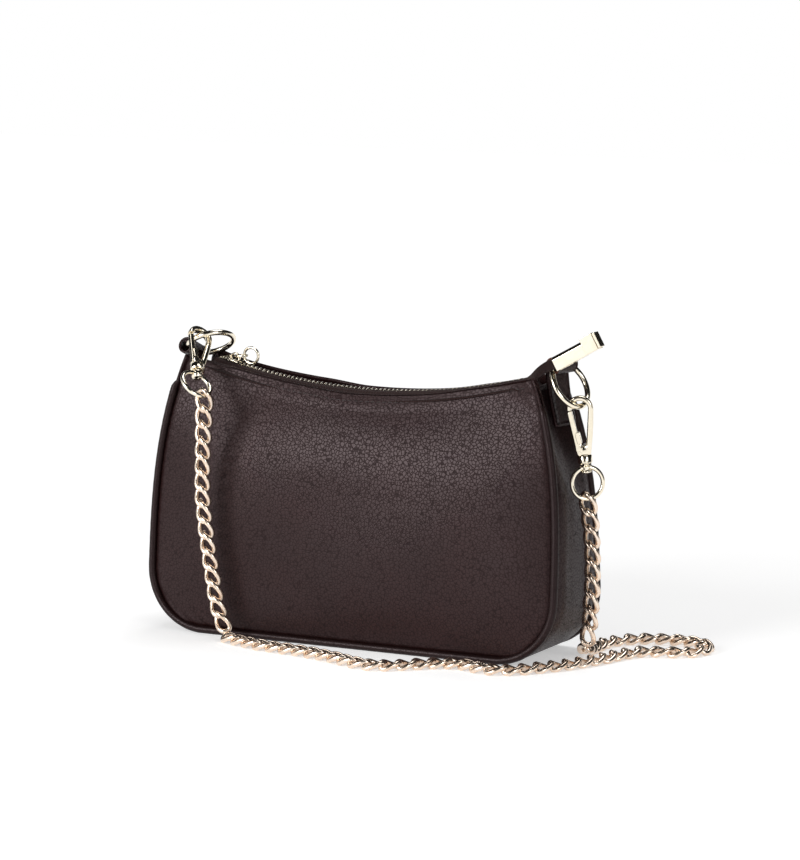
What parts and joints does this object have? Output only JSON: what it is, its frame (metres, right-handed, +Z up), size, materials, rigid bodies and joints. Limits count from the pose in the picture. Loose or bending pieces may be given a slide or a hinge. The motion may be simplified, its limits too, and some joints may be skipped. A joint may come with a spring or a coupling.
{
  "type": "chain shoulder bag",
  "caption": "Small zipped shoulder bag of dark pebbled leather with piped edges, rings at both ends and a detachable curb chain on snap hooks.",
  "frame": {"origin": "middle of the base, on the surface that the bag stands on", "axes": "+X along the bag to the end with the zip tail, +Y to the back panel, +Z up"},
  "size_m": [0.2947, 0.1379, 0.1716],
  "materials": {
    "leather": "pebbled grain, satin",
    "lining": "woven cloth",
    "board": "pressed fibre board",
    "tape": "ribbed woven tape",
    "gold": "pale gold plating, polished",
    "spring_steel": "drawn wire"
  },
  "bodies": {
    "bag": {"front_panel": "leather", "back_panel": "leather", "gusset": "leather", "front_piping": "leather", "back_piping": "leather", "lining": "lining", "inner_pocket": "lining", "base_board": "board", "zip_tape_front": "tape", "zip_tape_back": "tape", "zip_teeth_front": "gold", "zip_teeth_back": "gold", "zip_top_stops": "gold", "zip_bottom_stop": "gold", "zip_end_clamp": "gold", "clamp_screws": "gold", "tab_right": "leather", "tab_left": "leather", "chain_floor": "gold"},
    "slider": {"zip_slider": "gold"},
    "pull_link": {"zip_pull_link": "gold"},
    "pull_ring": {"zip_pull_ring": "gold"},
    "ring_right": {"ring_right": "gold"},
    "hook_right": {"hook_right": "gold", "gate_pin_right": "gold", "gate_spring_right": "spring_steel", "chain_fall_right": "gold"},
    "gate_right": {"gate_right": "gold"},
    "eye_right": {"eye_right": "gold"},
    "ring_left": {"ring_left": "gold"},
    "hook_left": {"hook_left": "gold", "gate_pin_left": "gold", "gate_spring_left": "spring_steel", "chain_fall_left": "gold"},
    "gate_left": {"gate_left": "gold"},
    "eye_left": {"eye_left": "gold"}
  },
  "joints": [
    {"name": "slider_run", "type": "hinge", "parent": "bag", "child": "slider", "pos_m": [0, 0, 0.48715], "axis": [0, -1, 0], "range_deg": [0, 26]},
    {"name": "pull_link_swing", "type": "hinge", "parent": "slider", "child": "pull_link", "pos_m": [-0.08121, 0, 0.14501], "axis": [0, -1, 0], "range_deg": [0, 45]},
    {"name": "pull_ring_swing", "type": "hinge", "parent": "pull_link", "child": "pull_ring", "pos_m": [-0.07443, 0, 0.14544], "axis": [0, -1, 0], "range_deg": [-8, 25]},
    {"name": "ring_right_swing", "type": "hinge", "parent": "bag", "child": "ring_right", "pos_m": [0.109, 0.0011, 0.1514], "axis": [-0.2079, -0.9781, 0], "range_deg": [0, 20]},
    {"name": "hook_right_swing", "type": "hinge", "parent": "ring_right", "child": "hook_right", "pos_m": [0.12036, -0.00131, 0.13129], "axis": [-0.2079, -0.9781, 0], "range_deg": [-20, 0]},
    {"name": "gate_right_swing", "type": "hinge", "parent": "hook_right", "child": "gate_right", "pos_m": [0.12051, -0.00126, 0.10785], "axis": [-0.342, 0.9397, 0], "range_deg": [0, 16], "stiffness_Nm_per_rad": 0.02},
    {"name": "eye_right_swivel", "type": "hinge", "parent": "hook_right", "child": "eye_right", "pos_m": [0.12424, 0.0001, 0.09225], "axis": [-0.0989, -0.036, 0.9944], "range_deg": [-3, 18]},
    {"name": "ring_left_swing", "type": "hinge", "parent": "bag", "child": "ring_left", "pos_m": [-0.1065, -0.0017, 0.147], "axis": [0, -0.9205, 0.3907], "range_deg": [0, 20]},
    {"name": "hook_left_swing", "type": "hinge", "parent": "ring_left", "child": "hook_left", "pos_m": [-0.09648, -0.01123, 0.15589], "axis": [0, -0.9205, 0.3907], "range_deg": [-20, 0]},
    {"name": "gate_left_swing", "type": "hinge", "parent": "hook_left", "child": "gate_left", "pos_m": [-0.08893, -0.03024, 0.14442], "axis": [-0.6848, 0.1572, -0.7116], "range_deg": [0, 16], "stiffness_Nm_per_rad": 0.02},
    {"name": "eye_left_swivel", "type": "hinge", "parent": "hook_left", "child": "eye_left", "pos_m": [-0.08138, -0.04073, 0.13484], "axis": [-0.3847, 0.7513, 0.5362], "range_deg": [-8, 16]}
  ],
  "couplings": [
    {"joint": "hook_right_swing", "follows": "ring_right_swing", "ratio": -1},
    {"joint": "hook_left_swing", "follows": "ring_left_swing", "ratio": -1}
  ]
}
